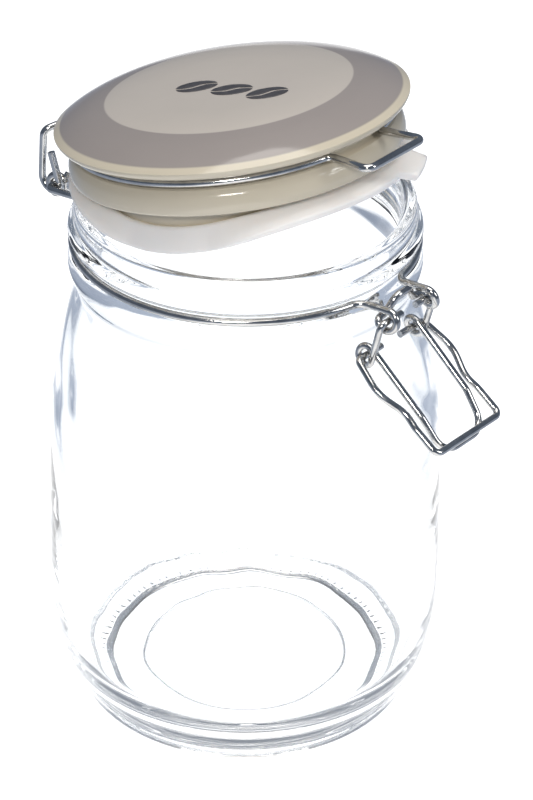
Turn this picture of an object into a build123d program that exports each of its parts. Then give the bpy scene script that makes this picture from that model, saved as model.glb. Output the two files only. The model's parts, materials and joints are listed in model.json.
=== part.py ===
"""Clip-top glass canister with a wire-hinged ceramic lid, standing ajar.

Millimetres, +Z up. The origin is the centre of the base on the jar's axis. The latch faces -Y and the
hinge +Y, so every pivot runs along X. Places on the wires are written as (x, front, z), where front is
the distance from the jar's axis towards the latch, so that y = -front. Turns in that (front, z) plane
are counter-clockwise, which is also the way the lid opens.
"""

import math
import os

from build123d import *

# Glass jar
JAR_HEIGHT = 160.0
RIM_R = 47.9
BORE_R = 43.6
BEAD_R = 49.8
BEAD_Z = 152.2
COLLAR_R = 50.0
COLLAR_Z = 142.6
GROOVE_R = 47.3
BODY_R = 57.5
FOOT_R = 50.3

# Ceramic lid where it is closed. LID_SHIFT is how far it sits towards the latch.
LID_EDGE_R = 49.5
LID_EDGE_Z = 175.0
LID_RISE = 6.8
LID_RISE_POWER = 4.87
LID_GROOVE_R = 43.2
LID_FLANGE_R = 47.0
LID_SEAT_Z = 161.6
LID_SHIFT = 1.2
PLUG_R = 40.2
PLUG_BOTTOM_Z = 154.6
HOLLOW_R = 35.0
HOLLOW_TOP_Z = 176.6

# Gasket
GASKET_R = 47.3
GASKET_CLEARANCE = 0.15

# Wires
RING_WIRE_D = 2.2
LATCH_WIRE_D = 2.0
LID_RING_R = 44.6
LID_RING_Z = 170.5
NECK_RING_R = 48.6
NECK_RING_Z = 148.3
FULL_BEND = 0.98

# Pivots, as (front, z)
HINGE = (-62.5, 146.6)
LEVER_PIVOT = (58.4, 146.6)
LOOP_PIVOT = (52.6, 134.5)

# The lid stands this far open, in degrees from closed
AJAR = 10.8

# The latch hangs with its loop pointing this way, in degrees above level
LOOP_TILT = -34.0
LOOP_LENGTH = 33.6


def coil(pivot, radius, start, stop, x_start, x_stop, corners):
    """Corners of a path winding round a pivot from one angle to another while it moves along X."""
    step = (stop - start) / corners
    reach = radius / math.cos(math.radians(step / 2))
    path = []
    for i in range(corners):
        share = (i + 0.5) / corners
        angle = math.radians(start + (stop - start) * share)
        x = x_start + (x_stop - x_start) * share
        corner = (x, pivot[0] + reach * math.cos(angle), pivot[1] + reach * math.sin(angle))
        path.append((corner, FULL_BEND * radius))
    return path


def ring_side(radius, z, front, start, stop, lead, corners=6):
    """Corners of the left side of a ring. Angles are measured from the front. A straight lead of the
    given length stays free at each end for the bend there."""
    step = (stop - start) / corners
    reach = radius / math.cos(math.radians(step / 2))
    path = [(ring_lead(radius, z, front, start, -lead), 0)]
    for i in range(corners):
        angle = math.radians(start + step * (i + 0.5))
        path.append(((-reach * math.sin(angle), front + reach * math.cos(angle), z), FULL_BEND * radius))
    path.append((ring_lead(radius, z, front, stop, lead), 0))
    return path


def ring_lead(radius, z, front, degrees, run):
    """A point on the ring's tangent, run beyond the place at this angle."""
    angle = math.radians(degrees)
    x = -radius * math.sin(angle) - run * math.cos(angle)
    return (x, front + radius * math.cos(angle) - run * math.sin(angle), z)


def both_sides(half):
    """A whole symmetric wire from the corners of its left half, listed outward from the middle."""
    right = [((-x, front, z), bend) for (x, front, z), bend in half]
    return half[::-1] + right


def bent_wire(path, diameter):
    """One wire along a list of (corner, bend radius); the two ends have no bend."""
    corners = [Vector(x, -front, z) for (x, front, z), _ in path]
    bends = [bend for _, bend in path[1:-1]]
    line = FilletPolyline(*corners, radius=bends)
    start = Plane(origin=line @ 0, z_dir=line % 0)
    return sweep(start * Circle(diameter / 2), path=line)


def opened(shape):
    """Turns a shape built closed about the lid's hinge to where the lid stands."""
    return shape.rotate(Axis((0, -HINGE[0], HINGE[1]), (-1, 0, 0)), AJAR)


def make_jar():
    foot = [(45.6, 0), (48.6, 0.8), (50.0, 2.8), (FOOT_R, 5.6)]
    heel = [(FOOT_R + 0.5, 6.2), (53.0, 10), (54.8, 15), (56.1, 21), (57.2, 29), (BODY_R, 42)]
    shoulder = [(BODY_R, 42), (57.2, 65), (56.1, 95), (54.1, 108), (52.2, 118), (50.3, 126), (48.0, 135.0)]
    collar = [(48.0, 135.0), (48.3, 137.0), (49.5, 139.8), (COLLAR_R, COLLAR_Z), (49.2, 145.4)]
    neck = [(49.2, 145.4), (47.8, 146.9), (GROOVE_R, NECK_RING_Z), (47.9, 149.8), (BEAD_R, BEAD_Z)]
    bead = [(BEAD_R, BEAD_Z), (49.2, 154.2), (RIM_R, 155.8)]
    inside = [(BORE_R, 157.8), (BORE_R, 141), (44.8, 131.5), (49.2, 116), (52.9, 95), (54.3, 76), (54.4, 42)]
    inner_heel = [(54.4, 42), (53.8, 28), (51.6, 18), (47.0, 11), (39.0, 7.9), (30.0, 7.4)]
    punt = [(0, 3.8), (14, 3.2), (29.2, 2.4)]
    with BuildSketch(Plane.XZ) as section:
        with BuildLine():
            Spline(*foot, tangents=[(1, 0.05), (0, 1)])
            Line(foot[-1], heel[0])
            Spline(*heel, tangents=[(0.7, 1), (0, 1)])
            Spline(*shoulder, tangents=[(0, 1), (-0.25, 1)])
            Spline(*collar, tangents=[(0, 1), (-0.7, 1)])
            Spline(*neck, tangents=[(-0.7, 1), (0, 1)])
            Spline(*bead, tangents=[(0, 1), (-0.5, 1)])
            Line(bead[-1], (RIM_R, JAR_HEIGHT - 1.1))
            RadiusArc((RIM_R, JAR_HEIGHT - 1.1), (RIM_R - 1.1, JAR_HEIGHT), -1.1)
            Line((RIM_R - 1.1, JAR_HEIGHT), (BORE_R + 1.6, JAR_HEIGHT))
            Spline((BORE_R + 1.6, JAR_HEIGHT), inside[0], tangents=[(-1, 0), (0, -1)])
            Line(inside[0], inside[1])
            Spline(*inside[1:], tangents=[(0, -1), (0, -1)])
            Spline(*inner_heel, tangents=[(0, -1), (-1, 0)])
            Spline(inner_heel[-1], (0, 9.2), tangents=[(-1, 0), (-1, 0)])
            Line((0, 9.2), punt[0])
            Spline(*punt, tangents=[(1, 0), (1, 0)])
            ThreePointArc(punt[-1], (30.2, 1.5), (31.2, 2.4))
            Line((31.2, 2.4), (40.6, 2.1))
            Spline((40.6, 2.1), (42.6, 0.9), (44.0, 0), tangents=[(1, 0), (1, -0.1)])
            Line((44.0, 0), foot[0])
        make_face()
    return revolve(section.sketch, axis=Axis.Z)


def make_lid():
    radii = (0, 16, 28, 36, 41.5, 45.5, 48, LID_EDGE_R)
    dome = [(r, LID_EDGE_Z + LID_RISE * (1 - (r / LID_EDGE_R) ** LID_RISE_POWER)) for r in radii]
    lip = [(LID_EDGE_R, LID_EDGE_Z), (49.1, 173.8), (48.0, 172.8), (46.0, 172.2)]
    groove_top, groove_bottom = LID_RING_Z + 1.4, LID_RING_Z - 1.4
    flange = [(45.4, 168.7), (46.5, 167.0), (LID_FLANGE_R, 164.4), (46.7, 162.6), (45.7, LID_SEAT_Z)]
    plug_round, hollow_round = 1.6, 1.2
    with BuildSketch(Plane.XZ) as section:
        with BuildLine():
            Spline(*dome, tangents=[(1, 0), (0.05, -1)])
            Spline(*lip, tangents=[(0, -1), (-1, -0.1)])
            Line(lip[-1], (LID_GROOVE_R, groove_top))
            Line((LID_GROOVE_R, groove_top), (LID_GROOVE_R, groove_bottom))
            Line((LID_GROOVE_R, groove_bottom), flange[0])
            Spline(*flange, tangents=[(1, -0.6), (-1, -0.3)])
            Line(flange[-1], (PLUG_R, LID_SEAT_Z))
            Line((PLUG_R, LID_SEAT_Z), (PLUG_R, PLUG_BOTTOM_Z + plug_round))
            Line((PLUG_R, PLUG_BOTTOM_Z + plug_round), (PLUG_R - plug_round, PLUG_BOTTOM_Z))
            Line((PLUG_R - plug_round, PLUG_BOTTOM_Z), (HOLLOW_R + hollow_round, PLUG_BOTTOM_Z))
            Line((HOLLOW_R + hollow_round, PLUG_BOTTOM_Z), (HOLLOW_R, PLUG_BOTTOM_Z + hollow_round))
            Line((HOLLOW_R, PLUG_BOTTOM_Z + hollow_round), (HOLLOW_R - 1, HOLLOW_TOP_Z - 6))
            Spline((HOLLOW_R - 1, HOLLOW_TOP_Z - 6), (0, HOLLOW_TOP_Z), tangents=[(-0.05, 1), (-1, 0)])
            Line((0, HOLLOW_TOP_Z), dome[0])
        make_face()
    return opened(Pos(0, -LID_SHIFT, 0) * revolve(section.sketch, axis=Axis.Z))


def make_gasket():
    low = JAR_HEIGHT + GASKET_CLEARANCE
    ring = Cylinder(GASKET_R, LID_SEAT_Z - low) - Cylinder(PLUG_R + 0.2, LID_SEAT_Z - low)
    return opened(Pos(0, -LID_SHIFT, (low + LID_SEAT_Z) / 2) * ring)


def make_lid_wire():
    beak_front, beak_x, beak_z = 59.0, 11.6, 169.4
    coil_r, leg_x, tail_x = 2.6, -9.5, -12.6
    tail_turn, tail_length = 96, 10.4
    ring = ring_side(LID_RING_R, LID_RING_Z, LID_SHIFT, 17, 170.5, 3)
    root, exit_corner = ring[0][0], ring[-1][0]
    run_x = exit_corner[0]
    turns = coil(HINGE, coil_r, -94, 270 + tail_turn, leg_x, tail_x, corners=5)
    lift = math.radians(tail_turn)
    foot_front = HINGE[0] + coil_r * math.sin(lift)
    foot_z = HINGE[1] - coil_r * math.cos(lift)
    half = [
        ((-beak_x, beak_front, beak_z), 2.2),
        (root, 2.6),
        *ring[1:-1],
        (exit_corner, 2.4),
        ((run_x, -52.5, LID_RING_Z - 0.6), 6.0),
        ((run_x, -62.6, 163.2), 2.2),
        ((leg_x, -66.0, 162.1), 2.6),
        ((leg_x, -71.1, 143.1), 3.8),
        *turns,
        ((tail_x, foot_front + tail_length * math.cos(lift), foot_z + tail_length * math.sin(lift)), 0),
    ]
    return opened(bent_wire(both_sides(half), RING_WIRE_D))


def make_neck_wire():
    eye_r, eye_in_x, eye_out_x = 2.7, -7.7, -9.7
    eye_back, eye_z = LEVER_PIVOT[0] - 3.4, LEVER_PIVOT[1] - 0.2
    arch_front, arch_z = LEVER_PIVOT[0] - 2.1, 151.2
    pin_x, pin_end_x, pin_lift = -15.1, -6.1, 1.4
    ring = ring_side(NECK_RING_R, NECK_RING_Z, 0, 14.6, 160.5, 4.4)
    half = [
        ((-2.4, arch_front, arch_z), 3.4),
        ((-6.2, eye_back, eye_z), 2.6),
        ((eye_out_x, eye_back, eye_z), 1.8),
        *coil(LEVER_PIVOT, eye_r, 222, 454, eye_out_x, eye_in_x, corners=3),
        (ring[0][0], 4.4),
        *ring[1:-1],
        ((pin_x, -47.4, NECK_RING_Z), 2.6),
        ((pin_x, *HINGE), 2.0),
        ((pin_end_x - 1.5, *HINGE), 1.4),
        ((pin_end_x, HINGE[0], HINGE[1] + pin_lift), 0),
    ]
    return bent_wire(both_sides(half), RING_WIRE_D)


def make_latch_lever():
    coil_r, link_x, arm_x = 2.6, -11.7, -9.5
    half = [
        ((-8.8, 79.0, 112.9), 5.6),
        ((-9.7, 71.9, 121.9), 9.0),
        *coil(LOOP_PIVOT, coil_r, 52, 345, arm_x, link_x, corners=3),
        ((link_x, *LEVER_PIVOT), 1.8),
        ((-3.0, *LEVER_PIVOT), 0),
    ]
    return bent_wire(both_sides(half), LATCH_WIRE_D)


def make_latch_loop():
    side_x, end_x = -14.1, -13.8
    waves = [(11.0, -16.4, 12.0), (19.6, -12.9, 9.0), (24.2, end_x, 8.0)]
    tilt = math.radians(LOOP_TILT)

    def along(run, x):
        return (x, LOOP_PIVOT[0] + run * math.cos(tilt), LOOP_PIVOT[1] + run * math.sin(tilt))

    half = [
        (along(LOOP_LENGTH, end_x), 2.0),
        *[(along(run, x), bend) for run, x, bend in reversed(waves)],
        (along(0, side_x), 1.8),
        (along(0, -4.0), 0),
    ]
    return bent_wire(both_sides(half), LATCH_WIRE_D)


PIECES = {
    "glass_jar": make_jar,
    "ceramic_lid": make_lid,
    "gasket": make_gasket,
    "lid_wire": make_lid_wire,
    "neck_wire": make_neck_wire,
    "latch_lever": make_latch_lever,
    "latch_loop": make_latch_loop,
}


if __name__ == "__main__":
    os.makedirs("parts", exist_ok=True)
    for name, make in PIECES.items():
        export_step(make(), f"parts/{name}.step")
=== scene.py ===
"""Looks of the clip-top canister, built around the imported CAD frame. Metres, +Z up, latch towards -Y."""

import json
import math

import bmesh
import bpy
from mathutils import Matrix, Vector


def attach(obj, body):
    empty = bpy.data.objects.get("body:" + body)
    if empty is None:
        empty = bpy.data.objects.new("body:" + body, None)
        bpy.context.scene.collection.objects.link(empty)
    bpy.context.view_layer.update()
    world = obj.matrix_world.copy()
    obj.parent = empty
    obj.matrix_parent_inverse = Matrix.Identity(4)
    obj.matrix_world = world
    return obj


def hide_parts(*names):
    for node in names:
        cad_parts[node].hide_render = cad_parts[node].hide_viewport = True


MM = 0.001

# Camera: where it stands in metres, the direction it looks in, its roll in degrees, lens and sensor in mm
CAMERA_AT = (-0.6038, -0.5249, 0.5942)
CAMERA_FORWARD = (0.6440, 0.5512, -0.5305)
CAMERA_ROLL = 0.37
CAMERA_LENS, SENSOR_WIDTH = 147.0, 36

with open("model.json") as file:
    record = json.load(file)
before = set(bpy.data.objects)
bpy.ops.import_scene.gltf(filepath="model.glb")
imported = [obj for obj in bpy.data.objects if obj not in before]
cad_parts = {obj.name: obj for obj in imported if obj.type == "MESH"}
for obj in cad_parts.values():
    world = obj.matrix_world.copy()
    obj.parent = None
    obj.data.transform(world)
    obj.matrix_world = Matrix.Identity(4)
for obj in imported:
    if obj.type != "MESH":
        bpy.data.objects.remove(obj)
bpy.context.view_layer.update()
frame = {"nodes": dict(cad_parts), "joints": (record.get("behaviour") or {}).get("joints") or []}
JOINTS = {joint["name"]: joint for joint in frame["joints"]}

# The lid's own frame: its hinge and how far it stands open, and where its rim plane is when closed
HINGE_Y, HINGE_Z = JOINTS["lid_hinge"]["pos_m"][1:]
AJAR = math.atan2(*JOINTS["lid_turn"]["axis"][1:])
LID_Y, LID_RIM_Z = -1.2 * MM, 175.0 * MM
LID_RISE = 6.8 * MM
LID_EDGE_R = 49.5 * MM
PLATE_R, BAND_R = 34.5 * MM, 47.6 * MM

# The flange's underside, which the sealing ring seats against, with the lid closed
SEAT_Z = 161.6 * MM

# Printed motif in the lid's frame: beans as (place along the row, own turn)
PRINT_TURN = -81.8
PRINT_CENTRE = (-3.6 * MM, -4.6 * MM)
BEAN_LENGTH, BEAN_WIDTH = 11.8 * MM, 8.0 * MM
BEANS = ((-11.6 * MM, 38), (0.0, 26), (11.6 * MM, 42))

# Sealing ring's droop: (angle in degrees from +X, spread, fall, outer edge's extra fall, shift outward)
DROOPS = (
    (188, 36, 3.9 * MM, 6.6 * MM, -0.2 * MM),
    (228, 60, 0.4 * MM, 2.6 * MM, 0.3 * MM),
    (300, 42, 2.2 * MM, 1.6 * MM, 0.3 * MM),
)

# Pull tab on the ring: its middle, half width and tapered edge in degrees, and how far it stands out
TAB_AT, TAB_HALF, TAB_EDGE, TAB_REACH = 297, 7, 2, 4.2 * MM

# The floor's painted bright strip runs through the jar's axis, the way the camera looks. FLOOR_ACROSS is the
# camera's rightward direction along the floor. The strip is painted bright out to one distance from its
# middle line and painted dim, as painted shade, beyond the other, in metres
FLOOR_ACROSS = (0.6503, -0.7597, 0)
FLOOR_PAINTED_BRIGHT, FLOOR_PAINTED_DIM = 0.10, 0.17

# Steps round a turned piece, notches round the jar's foot, and light bounces that the glass needs
TURNS = 192
STIPPLES = 96
GLASS_BOUNCES = 28

# The foot's notches lie between two radii and have this depth; the walls wander by about this much
NOTCHES = (44 * MM, 47.5 * MM, 0.35 * MM)
INNER_WANDER, OUTER_WANDER = 0.34 * MM, 0.05 * MM

# A bean's outline steps, and its slit's half width and wave as shares of the bean's width
BEAN_STEPS, SLIT_HALF, SLIT_WAVE = 24, 0.055, 0.10

# Radius below which an outline's point lies on the axis
ON_AXIS = 1e-7

# A Mix node's sockets for colours go by index, because their names repeat
MIX_SHARE, MIX_A, MIX_B, MIX_RESULT = 0, 6, 7, 2


def opened(point):
    """A point of the closed lid, turned about the hinge to where the lid stands."""
    y, z = point[1] - HINGE_Y, point[2] - HINGE_Z
    c, s = math.cos(AJAR), math.sin(AJAR)
    return Vector((point[0], HINGE_Y + y * c + z * s, HINGE_Z - y * s + z * c))


def lid_matrix():
    """From the lid's own frame, with its origin in the rim plane, to the row frame."""
    origin = opened((0, LID_Y, LID_RIM_Z))
    return Matrix.Translation(origin) @ Matrix.Rotation(-AJAR, 4, "X")


# ---------------------------------------------------------------- node helpers


def new_material(name):
    material = bpy.data.materials.new(name)
    material.use_nodes = True
    tree = material.node_tree
    return material, tree.nodes, tree.links, tree.nodes["Principled BSDF"]


def noise(nodes, links, source, scale, detail=2.0, roughness=0.5):
    texture = nodes.new("ShaderNodeTexNoise")
    texture.inputs["Scale"].default_value = scale
    texture.inputs["Detail"].default_value = detail
    texture.inputs["Roughness"].default_value = roughness
    links.new(source, texture.inputs["Vector"])
    return texture.outputs["Fac"]


def ramp(nodes, links, source, stops):
    """A colour ramp from a list of (position, colour)."""
    node = nodes.new("ShaderNodeValToRGB")
    while len(node.color_ramp.elements) < len(stops):
        node.color_ramp.elements.new(0.5)
    for element, (position, colour) in zip(node.color_ramp.elements, stops):
        element.position = position
        element.color = (*colour, 1)
    links.new(source, node.inputs["Fac"])
    return node.outputs["Color"]


def math_node(nodes, links, operation, a, b=None):
    node = nodes.new("ShaderNodeMath")
    node.operation = operation
    for socket, value in zip(node.inputs, (a, b)):
        if value is None:
            continue
        if isinstance(value, (int, float)):
            socket.default_value = value
        else:
            links.new(value, socket)
    return node.outputs[0]


def map_range(nodes, links, value, low, high, to_low, to_high):
    node = nodes.new("ShaderNodeMapRange")
    node.inputs["From Min"].default_value = low
    node.inputs["From Max"].default_value = high
    node.inputs["To Min"].default_value = to_low
    node.inputs["To Max"].default_value = to_high
    links.new(value, node.inputs["Value"])
    return node.outputs["Result"]


def mix_colour(nodes, links, share, a, b):
    node = nodes.new("ShaderNodeMix")
    node.data_type = "RGBA"
    for index, value in ((MIX_SHARE, share), (MIX_A, a), (MIX_B, b)):
        socket = node.inputs[index]
        if isinstance(value, (int, float)):
            socket.default_value = value
        elif isinstance(value, tuple):
            socket.default_value = (*value, 1)
        else:
            links.new(value, socket)
    return node.outputs[MIX_RESULT]


def bump(nodes, links, height, distance, strength):
    node = nodes.new("ShaderNodeBump")
    node.inputs["Strength"].default_value = strength
    node.inputs["Distance"].default_value = distance
    links.new(height, node.inputs["Height"])
    return node.outputs["Normal"]


# ---------------------------------------------------------------- materials


def glass_material():
    """Clear, faintly cool glass with the soft waves of a blown wall."""
    material, nodes, links, shader = new_material("clear_glass")
    shader.inputs["Base Color"].default_value = (0.985, 0.995, 1.0, 1)
    shader.inputs["Transmission Weight"].default_value = 1.0
    shader.inputs["IOR"].default_value = 1.5
    shader.inputs["Roughness"].default_value = 0.0
    place = nodes.new("ShaderNodeTexCoord").outputs["Object"]
    waves = noise(nodes, links, place, 55, 1.0)
    links.new(bump(nodes, links, waves, 0.00025, 0.35), shader.inputs["Normal"])
    return material


def wire_material():
    """Bright plated wire with faint drawing lines and slight tarnish."""
    material, nodes, links, shader = new_material("plated_wire")
    shader.inputs["Metallic"].default_value = 1.0
    place = nodes.new("ShaderNodeTexCoord").outputs["Object"]
    tarnish = noise(nodes, links, place, 260, 3.0)
    colour = ramp(nodes, links, tarnish, [(0.3, (0.44, 0.435, 0.43)), (0.7, (0.60, 0.595, 0.585))])
    links.new(colour, shader.inputs["Base Color"])
    links.new(map_range(nodes, links, tarnish, 0.3, 0.7, 0.10, 0.20), shader.inputs["Roughness"])
    grain = noise(nodes, links, place, 1500, 2.0)
    links.new(bump(nodes, links, grain, 0.00003, 0.4), shader.inputs["Normal"])
    return material


def ceramic_material():
    """Cream glaze with a printed grey band and a paler disc inside it."""
    material, nodes, links, shader = new_material("glazed_ceramic")
    place = nodes.new("ShaderNodeTexCoord").outputs["Object"]
    frame_node = nodes.new("ShaderNodeMapping")
    frame_node.vector_type = "TEXTURE"
    origin = opened((0, LID_Y, LID_RIM_Z))
    frame_node.inputs["Location"].default_value = origin
    frame_node.inputs["Rotation"].default_value = (-AJAR, 0, 0)
    links.new(place, frame_node.inputs["Vector"])
    split = nodes.new("ShaderNodeSeparateXYZ")
    links.new(frame_node.outputs["Vector"], split.inputs["Vector"])
    x, y, z = split.outputs
    squares = [math_node(nodes, links, "MULTIPLY", part, part) for part in (x, y)]
    radius = math_node(nodes, links, "SQRT", math_node(nodes, links, "ADD", *squares))
    edge = 0.25 * MM
    in_plate = map_range(nodes, links, radius, PLATE_R - edge, PLATE_R + edge, 1, 0)
    in_band = map_range(nodes, links, radius, BAND_R - edge, BAND_R + edge, 1, 0)
    on_top = map_range(nodes, links, z, 0.0, 0.4 * MM, 0, 1)
    cloud = noise(nodes, links, place, 18, 3.0)
    cream = ramp(nodes, links, cloud, [(0.35, (0.545, 0.485, 0.375)), (0.65, (0.58, 0.52, 0.41))])
    grey = ramp(nodes, links, cloud, [(0.35, (0.295, 0.262, 0.245)), (0.65, (0.315, 0.28, 0.262))])
    pale = ramp(nodes, links, cloud, [(0.35, (0.50, 0.455, 0.405)), (0.65, (0.53, 0.48, 0.43))])
    band = math_node(nodes, links, "MULTIPLY", in_band, on_top)
    plate = math_node(nodes, links, "MULTIPLY", in_plate, on_top)
    colour = mix_colour(nodes, links, band, cream, grey)
    colour = mix_colour(nodes, links, plate, colour, pale)
    links.new(colour, shader.inputs["Base Color"])
    shader.inputs["Roughness"].default_value = 0.12
    ripple = noise(nodes, links, place, 90, 2.0)
    links.new(bump(nodes, links, ripple, 0.00008, 0.5), shader.inputs["Normal"])
    return material


def print_material():
    """The dark grey transfer print on the lid."""
    material, nodes, links, shader = new_material("printed_motif")
    place = nodes.new("ShaderNodeTexCoord").outputs["Object"]
    speck = noise(nodes, links, place, 700, 2.0)
    colour = ramp(nodes, links, speck, [(0.3, (0.052, 0.048, 0.052)), (0.7, (0.07, 0.065, 0.068))])
    links.new(colour, shader.inputs["Base Color"])
    shader.inputs["Roughness"].default_value = 0.38
    return material


def silicone_material():
    """Milky sealing ring that lets some light through."""
    material, nodes, links, shader = new_material("silicone")
    place = nodes.new("ShaderNodeTexCoord").outputs["Object"]
    cloud = noise(nodes, links, place, 40, 2.0)
    colour = ramp(nodes, links, cloud, [(0.3, (0.82, 0.78, 0.75)), (0.7, (0.86, 0.83, 0.80))])
    links.new(colour, shader.inputs["Base Color"])
    shader.inputs["Roughness"].default_value = 0.42
    shader.inputs["Subsurface Weight"].default_value = 0.35
    shader.inputs["Subsurface Radius"].default_value = (0.006, 0.005, 0.0045)
    shader.inputs["Subsurface Scale"].default_value = 1.0
    matte = noise(nodes, links, place, 900, 2.0)
    links.new(bump(nodes, links, matte, 0.00004, 0.5), shader.inputs["Normal"])
    return material


def floor_material():
    """Pale floor with painted light: a glowing bright strip along the camera's line of sight, falling off to
    a painted cool grey shade at the sides.
    """
    material, nodes, links, shader = new_material("studio_floor")
    place = nodes.new("ShaderNodeTexCoord").outputs["Object"]
    across = nodes.new("ShaderNodeVectorMath")
    across.operation = "DOT_PRODUCT"
    across.inputs[1].default_value = FLOOR_ACROSS
    links.new(place, across.inputs[0])
    off = math_node(nodes, links, "ABSOLUTE", across.outputs["Value"])
    # Painted light: the share of the floor's painted bright strip, full near its middle line and falling to
    # painted shade beyond
    painted_light_share = map_range(nodes, links, off, FLOOR_PAINTED_BRIGHT, FLOOR_PAINTED_DIM, 1, 0)
    painted_light_share.node.interpolation_type = "SMOOTHSTEP"
    # Painted light and shade: pale in the strip, a painted cool grey shade at the sides
    colour = mix_colour(nodes, links, painted_light_share, (0.44, 0.50, 0.60), (0.91, 0.91, 0.91))
    links.new(colour, shader.inputs["Base Color"])
    shader.inputs["Roughness"].default_value = 0.7
    # Painted glow: the floor gives off light in its bright strip, though it is no lamp, and hardly any at the
    # sides
    painted_glow = mix_colour(nodes, links, painted_light_share, (0.02, 0.02, 0.03), (0.64, 0.64, 0.64))
    links.new(painted_glow, shader.inputs["Emission Color"])
    shader.inputs["Emission Strength"].default_value = 1.0
    return material


# ---------------------------------------------------------------- mesh helpers


def mesh_object(name, vertices, faces, material, smooth=True):
    mesh = bpy.data.meshes.new(name)
    mesh.from_pydata(vertices, [], faces)
    shape = bmesh.new()
    shape.from_mesh(mesh)
    if shape.calc_volume(signed=True) < 0:
        bmesh.ops.reverse_faces(shape, faces=shape.faces[:])
    shape.to_mesh(mesh)
    shape.free()
    mesh.update()
    mesh.materials.append(material)
    obj = bpy.data.objects.new(name, mesh)
    bpy.context.scene.collection.objects.link(obj)
    if smooth:
        for polygon in mesh.polygons:
            polygon.use_smooth = True
    return obj


def curve_points(points, count):
    """A Catmull-Rom run through given outline points, count steps between each two."""
    run = []
    for i in range(len(points) - 1):
        before = Vector(points[max(i - 1, 0)])
        start, stop = Vector(points[i]), Vector(points[i + 1])
        after = Vector(points[min(i + 2, len(points) - 1)])
        for step in range(count):
            t = step / count
            run.append(
                0.5
                * (
                    2 * start
                    + (stop - before) * t
                    + (2 * before - 5 * start + 4 * stop - after) * t * t
                    + (3 * start - before - 3 * stop + after) * t**3
                )
            )
    run.append(Vector(points[-1]))
    return run


def ripple(angle, z):
    """Slow unevenness of a pressed and blown wall, between about -1 and 1."""
    around = math.sin(7 * angle + 9 * math.sin(38 * z)) + 0.6 * math.sin(13 * angle - 160 * z + 1.3)
    return 0.5 * around + 0.35 * math.sin(23 * angle + 240 * z)


def lathe(name, outline, material, turns=TURNS, waves=None, stipple=None):
    """Turns a closed (radius, z) outline, in metres, about Z. Its ends on the axis become one vertex each.

    waves(index, z) is how far the wall may wander there. stipple is the foot's notches, as in NOTCHES.
    """
    vertices, rings = [], []
    for index, (radius, z) in enumerate(outline):
        if radius < ON_AXIS:
            rings.append([len(vertices)])
            vertices.append((0, 0, z))
            continue
        ring = []
        for i in range(turns):
            angle = 2 * math.pi * i / turns
            r = radius + (waves(index, z) * ripple(angle, z) if waves else 0)
            notch = 0
            if stipple and z < stipple[2] and stipple[0] < radius < stipple[1]:
                notch = stipple[2] * (0.5 - 0.5 * math.cos(STIPPLES * angle))
            ring.append(len(vertices))
            vertices.append((r * math.cos(angle), r * math.sin(angle), z + notch))
        rings.append(ring)
    faces = []
    closed = outline[0][0] > ON_AXIS and outline[-1][0] > ON_AXIS
    pairs = list(zip(rings, rings[1:])) + ([(rings[-1], rings[0])] if closed else [])
    for a, b in pairs:
        for i in range(turns):
            j = (i + 1) % turns
            if len(a) == 1:
                faces.append((a[0], b[j], b[i]))
            elif len(b) == 1:
                faces.append((a[i], a[j], b[0]))
            else:
                faces.append((a[i], a[j], b[j], b[i]))
    return mesh_object(name, vertices, faces, material)


# ---------------------------------------------------------------- pieces


def build_jar(material):
    """The jar as one smooth turned wall, with soft waves below the shoulder and fainter ones lower down."""

    def run(points, count=5):
        return curve_points([(r * MM, z * MM) for r, z in points], count)

    foot = run([(44.0, 0), (45.6, 0), (48.4, 0.8), (50.0, 2.8), (50.3, 5.6), (50.8, 6.2)])
    body = run(
        [
            (50.8, 6.2),
            (53.0, 10),
            (54.8, 15),
            (56.1, 21),
            (57.2, 29),
            (57.5, 42),
            (57.2, 65),
            (56.1, 95),
            (54.1, 108),
            (52.2, 118),
            (50.3, 126),
            (48.4, 133),
            (47.95, 135.4),
            (48.3, 137.2),
            (49.5, 139.8),
            (50.0, 142.6),
            (49.2, 145.4),
            (47.7, 146.9),
            (47.3, 148.3),
            (47.9, 149.8),
            (49.2, 150.8),
            (49.8, 152.2),
            (49.2, 154.2),
            (48.1, 155.7),
            (47.9, 157.0),
            (47.9, 158.9),
        ]
    )
    lip = run([(47.9, 158.9), (47.6, 159.7), (46.8, 160.0), (45.2, 160.0), (44.1, 159.3), (43.6, 157.8)], 4)
    inside = run(
        [
            (43.6, 157.8),
            (43.6, 150),
            (43.6, 141),
            (44.8, 131.5),
            (49.2, 116),
            (52.9, 95),
            (54.3, 76),
            (54.4, 42),
            (53.8, 28),
            (51.6, 18),
            (47.0, 11),
            (39.0, 7.9),
            (30.0, 7.4),
            (15.0, 8.7),
            (0, 9.2),
        ]
    )
    under = run(
        [
            (0, 3.8),
            (14, 3.2),
            (29.2, 2.4),
            (30.2, 1.5),
            (31.2, 2.4),
            (36, 2.25),
            (40.6, 2.1),
            (42.8, 0.8),
            (44.0, 0),
        ],
        6,
    )
    under, outside = under[:-1] + foot[:-1], body[:-1] + lip[:-1]
    outline = [(p[0], min(max(p[1], 0), 160 * MM)) for p in under + outside + inside]
    inner_from = len(under) + len(outside)

    def waves(index, z):
        """The inner wall wanders most below the shoulder; the outer wall hardly does."""
        upper = math.exp(-(((z - 105 * MM) / (24 * MM)) ** 2))
        lower = math.exp(-(((z - 60 * MM) / (20 * MM)) ** 2))
        return (upper + 0.25 * lower) * (INNER_WANDER if index >= inner_from else OUTER_WANDER)

    return lathe("jar_glass", outline, material, turns=4 * STIPPLES, waves=waves, stipple=NOTCHES)


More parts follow.
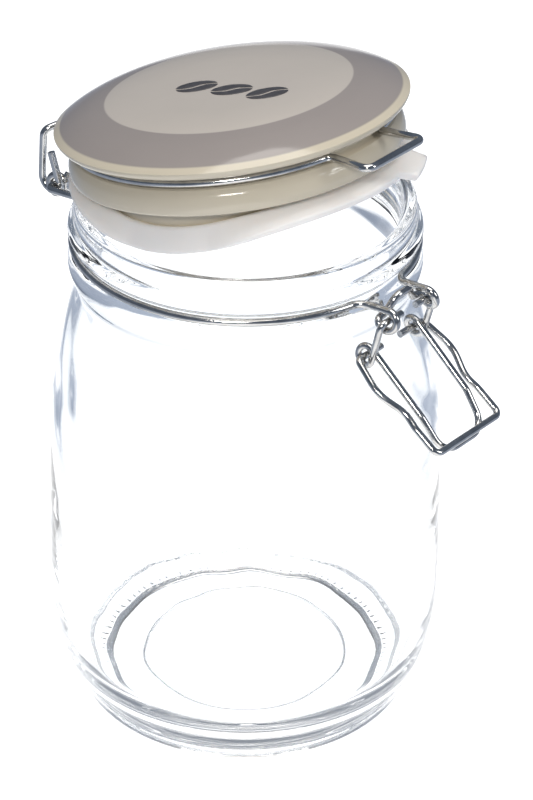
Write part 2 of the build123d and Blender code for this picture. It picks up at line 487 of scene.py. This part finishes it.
def build_lid(material):
    """The ceramic lid, lathe-turned in its own frame and set where the lid stands."""
    radii = (0, 8, 16, 24, 32, 38, 42, 45, 47, 48.4, 49.2, 49.5)
    dome = [(r, (LID_RIM_Z + dome_height(r * MM, 0)) / MM) for r in radii]
    lip = [(49.5, 175.0), (49.45, 174.5), (49.1, 173.8), (48.6, 173.2), (48.0, 172.8)]
    lip += [(47, 172.4), (45.2, 172.1)]
    neck = [(45.2, 172.1), (43.6, 171.7), (43.2, 171.2), (43.2, 170.5), (43.2, 169.8)]
    neck += [(43.9, 169.2), (45.4, 168.7)]
    flange = [(45.4, 168.7), (46.5, 167.0), (47.0, 164.4), (46.7, 162.6), (46.3, 161.9), (45.7, 161.6)]
    plug = [(45.7, 161.6), (41.0, 161.6), (40.3, 161.2), (40.2, 160.4), (40.2, 156.4)]
    plug += [(39.8, 155.2), (38.6, 154.6)]
    hollow_top = 176.6
    hollow = [(38.6, 154.6), (36.2, 154.6), (35.3, 155.0), (35, 156.2), (34.2, 168)]
    hollow += [(33.6, 173), (30, 175.8), (0, hollow_top)]
    outline = []
    for part in (dome, lip, neck, flange, plug, hollow):
        outline += curve_points([(r * MM, z * MM - LID_RIM_Z) for r, z in part], 5)[:-1]
    outline.append(Vector((0, hollow_top * MM - LID_RIM_Z)))
    lid = lathe("lid_ceramic", [tuple(p) for p in outline], material)
    lid.data.transform(lid_matrix())
    return lid


def dome_height(x, y):
    """Height of the lid's top above its rim plane, in the lid's own frame."""
    r = math.hypot(x, y) / LID_EDGE_R
    return LID_RISE * (1 - min(r, 1.0) ** 4.87)


def bean_shape(length, width, turn, centre):
    """Two halves of a coffee bean with the wavy slit between them, as flat outlines."""
    c, s = math.cos(turn), math.sin(turn)

    def slit_edge(u, side):
        """Where one half ends at the slit, which runs along the bean in one wave."""
        return SLIT_WAVE * width * math.sin(2 * math.pi * u / length) + side * SLIT_HALF * width

    halves = []
    for side in (1, -1):
        rim = []
        for i in range(BEAN_STEPS + 1):
            angle = math.pi * i / BEAN_STEPS
            u = math.cos(angle) * length / 2
            v = side * math.sin(angle) * width / 2
            rim.append((u, side * max(side * v, side * slit_edge(u, side))))
        for i in range(1, BEAN_STEPS):
            u = (-1 + 2 * i / BEAN_STEPS) * length / 2
            rim.append((u, slit_edge(u, side)))
        halves.append([(centre[0] + u * c - v * s, centre[1] + u * s + v * c) for u, v in rim])
    return halves


def build_print(material):
    """A row of three coffee beans printed across the lid, a hair above the glaze."""
    lift, edge = 0.10 * MM, 0.04 * MM
    vertices, faces = [], []
    reading = math.radians(PRINT_TURN)
    for place, turn in BEANS:
        cx = place * math.cos(reading) + PRINT_CENTRE[0]
        cy = place * math.sin(reading) + PRINT_CENTRE[1]
        for half in bean_shape(BEAN_LENGTH, BEAN_WIDTH, reading + math.radians(turn), (cx, cy)):
            mid = (sum(p[0] for p in half) / len(half), sum(p[1] for p in half) / len(half))
            rings = []
            for share, up in ((1.0, -edge), (0.985, lift), (0.66, lift), (0.33, lift)):
                ring = []
                for x, y in half:
                    px, py = mid[0] + (x - mid[0]) * share, mid[1] + (y - mid[1]) * share
                    ring.append(len(vertices))
                    vertices.append((px, py, dome_height(px, py) + up))
                rings.append(ring)
            centre = len(vertices)
            vertices.append((*mid, dome_height(*mid) + lift))
            count = len(half)
            for a, b in zip(rings, rings[1:]):
                faces += [(a[i], a[(i + 1) % count], b[(i + 1) % count], b[i]) for i in range(count)]
            faces += [(rings[-1][i], rings[-1][(i + 1) % count], centre) for i in range(count)]
    obj = mesh_object("lid_print", vertices, faces, material)
    obj.data.transform(lid_matrix())
    return obj


def build_gasket(material):
    """The sealing ring, hanging loose round the plug: a flat ring that droops by an uneven amount."""
    around, across = 180, 10
    vertices, faces = [], []
    inner, outer, thick = 40.4 * MM, 47.8 * MM, 2.2 * MM
    corner, bulge, steepest = 0.3 * MM, 0.05 * MM, 0.95
    width = outer - inner - 2 * corner
    flat = [inner + corner + width * i / (across - 1) for i in range(across)]
    section = [(radius, thick / 2) for radius in flat]
    section += [(outer - bulge, thick * 0.30), (outer, 0), (outer - bulge, -thick * 0.30)]
    section += [(radius, -thick / 2) for radius in reversed(flat)]
    section += [(inner, -thick * 0.25), (inner, thick * 0.25)]
    for step in range(around):
        angle = 2 * math.pi * step / around
        drop, slope, out = gasket_droop(angle)
        lean = math.asin(min(slope / (outer - inner), steepest))
        off_tab = abs((math.degrees(angle) - TAB_AT + 180) % 360 - 180)
        tab = TAB_REACH * min(max((TAB_HALF + TAB_EDGE - off_tab) / TAB_EDGE, 0), 1)
        for radius, height in section:
            across_ring = (radius - inner) * (1 + tab / (outer - inner))
            r = inner + out + across_ring * math.cos(lean) + height * math.sin(lean)
            z = height * math.cos(lean) - drop - across_ring * math.sin(lean)
            vertices.append((r * math.cos(angle), r * math.sin(angle), z))
    count = len(section)
    for step in range(around):
        following = (step + 1) % around
        for i in range(count):
            j = (i + 1) % count
            faces.append((step * count + i, following * count + i, following * count + j, step * count + j))
    obj = mesh_object("seal_ring", vertices, faces, material)
    obj.data.transform(lid_matrix())
    return obj


def gasket_droop(angle):
    """How far the ring's middle lies below the rim plane here, its outer edge's extra fall, and its shift."""
    turn = math.degrees(angle) % 360
    drop = slope = out = 0.0
    for place, spread, fall, tilt, shift in DROOPS:
        gap = (turn - place + 180) % 360 - 180
        share = math.exp(-((gap / spread) ** 2))
        drop += fall * share
        slope += tilt * share
        out += shift * share
    below_seat = 1.2 * MM
    return LID_RIM_Z - SEAT_Z + below_seat + drop, slope, out


def area_light(name, at, aim, size, power, colour=(1, 1, 1)):
    data = bpy.data.lights.new(name, "AREA")
    data.shape = "RECTANGLE"
    data.size, data.size_y = size
    data.energy = power
    data.color = colour
    lamp = bpy.data.objects.new(name, data)
    lamp.location = at
    lamp.rotation_mode = "QUATERNION"
    lamp.rotation_quaternion = (Vector(aim) - Vector(at)).to_track_quat("-Z", "Y")
    bpy.context.scene.collection.objects.link(lamp)
    return lamp


def build_stage():
    """A floor with a painted bright strip that glows, three soft boxes, and a world darker for all but the
    camera's rays.
    """
    half = 2.2
    vertices = [(x, y, 0) for y in (-half, half) for x in (-half, half)]
    floor = mesh_object("studio_floor", vertices, [(0, 1, 3, 2)], floor_material(), smooth=False)
    world = bpy.data.worlds.new("studio_world")
    world.use_nodes = True
    nodes, links = world.node_tree.nodes, world.node_tree.links
    back = nodes["Background"]
    seen = nodes.new("ShaderNodeLightPath").outputs["Is Camera Ray"]
    tint = mix_colour(nodes, links, seen, (0.13, 0.16, 0.21), (0.50, 0.53, 0.58))
    links.new(tint, back.inputs["Color"])
    back.inputs["Strength"].default_value = 1.0
    bpy.context.scene.world = world
    area_light("key", (-0.95, -0.55, 0.95), (0, 0, 0.12), (0.34, 0.16), 7.0, (1, 0.97, 0.92))
    area_light("fill", (0.4, -1.2, 0.8), (0, 0, 0.12), (0.3, 0.6), 5)
    area_light("top", (0.0, 0.0, 1.5), (0, 0, 0.1), (1.0, 1.0), 13, (1, 0.97, 0.92))
    scene = bpy.context.scene
    scene.view_settings.view_transform = "Standard"
    scene.view_settings.look = "None"
    scene.cycles.max_bounces = GLASS_BOUNCES
    scene.cycles.glossy_bounces = GLASS_BOUNCES
    scene.cycles.transmission_bounces = GLASS_BOUNCES


def build_camera():
    data = bpy.data.cameras.new("camera")
    data.lens = CAMERA_LENS
    data.sensor_width = SENSOR_WIDTH
    data.clip_start, data.clip_end = 0.05, 20
    camera = bpy.data.objects.new("camera", data)
    forward = Vector(CAMERA_FORWARD).normalized()
    right = forward.cross(Vector((0, 0, 1))).normalized()
    up = right.cross(forward)
    roll = math.radians(CAMERA_ROLL)
    side = right * math.cos(roll) + up * math.sin(roll)
    top = up * math.cos(roll) - right * math.sin(roll)
    turned = Matrix((side, top, -forward)).transposed().to_4x4()
    camera.matrix_world = Matrix.Translation(CAMERA_AT) @ turned
    bpy.context.scene.collection.objects.link(camera)
    bpy.context.scene.camera = camera


def main():
    """Gives the CAD nodes materials, builds the pieces that replace three of them, and sets the stage."""
    nodes = frame["nodes"]

    glass = glass_material()
    wire = wire_material()
    ceramic = ceramic_material()
    silicone = silicone_material()

    for name, material in (
        ("glass_jar", glass),
        ("ceramic_lid", ceramic),
        ("gasket", silicone),
        ("lid_wire", wire),
        ("neck_wire", wire),
        ("latch_lever", wire),
        ("latch_loop", wire),
    ):
        mesh = nodes[name].data
        mesh.materials.clear()
        mesh.materials.append(material)

    for obj, node, body in (
        (build_jar(glass), "glass_jar", "jar"),
        (build_lid(ceramic), "ceramic_lid", "lid"),
        (build_gasket(silicone), "gasket", "lid"),
    ):
        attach(obj, body)
        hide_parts(node)
    clear = bpy.data.objects["jar_glass"]
    clear.visible_shadow = False
    clear.visible_diffuse = False
    motif = build_print(print_material())
    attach(motif, "lid")

    build_stage()
    build_camera()


main()
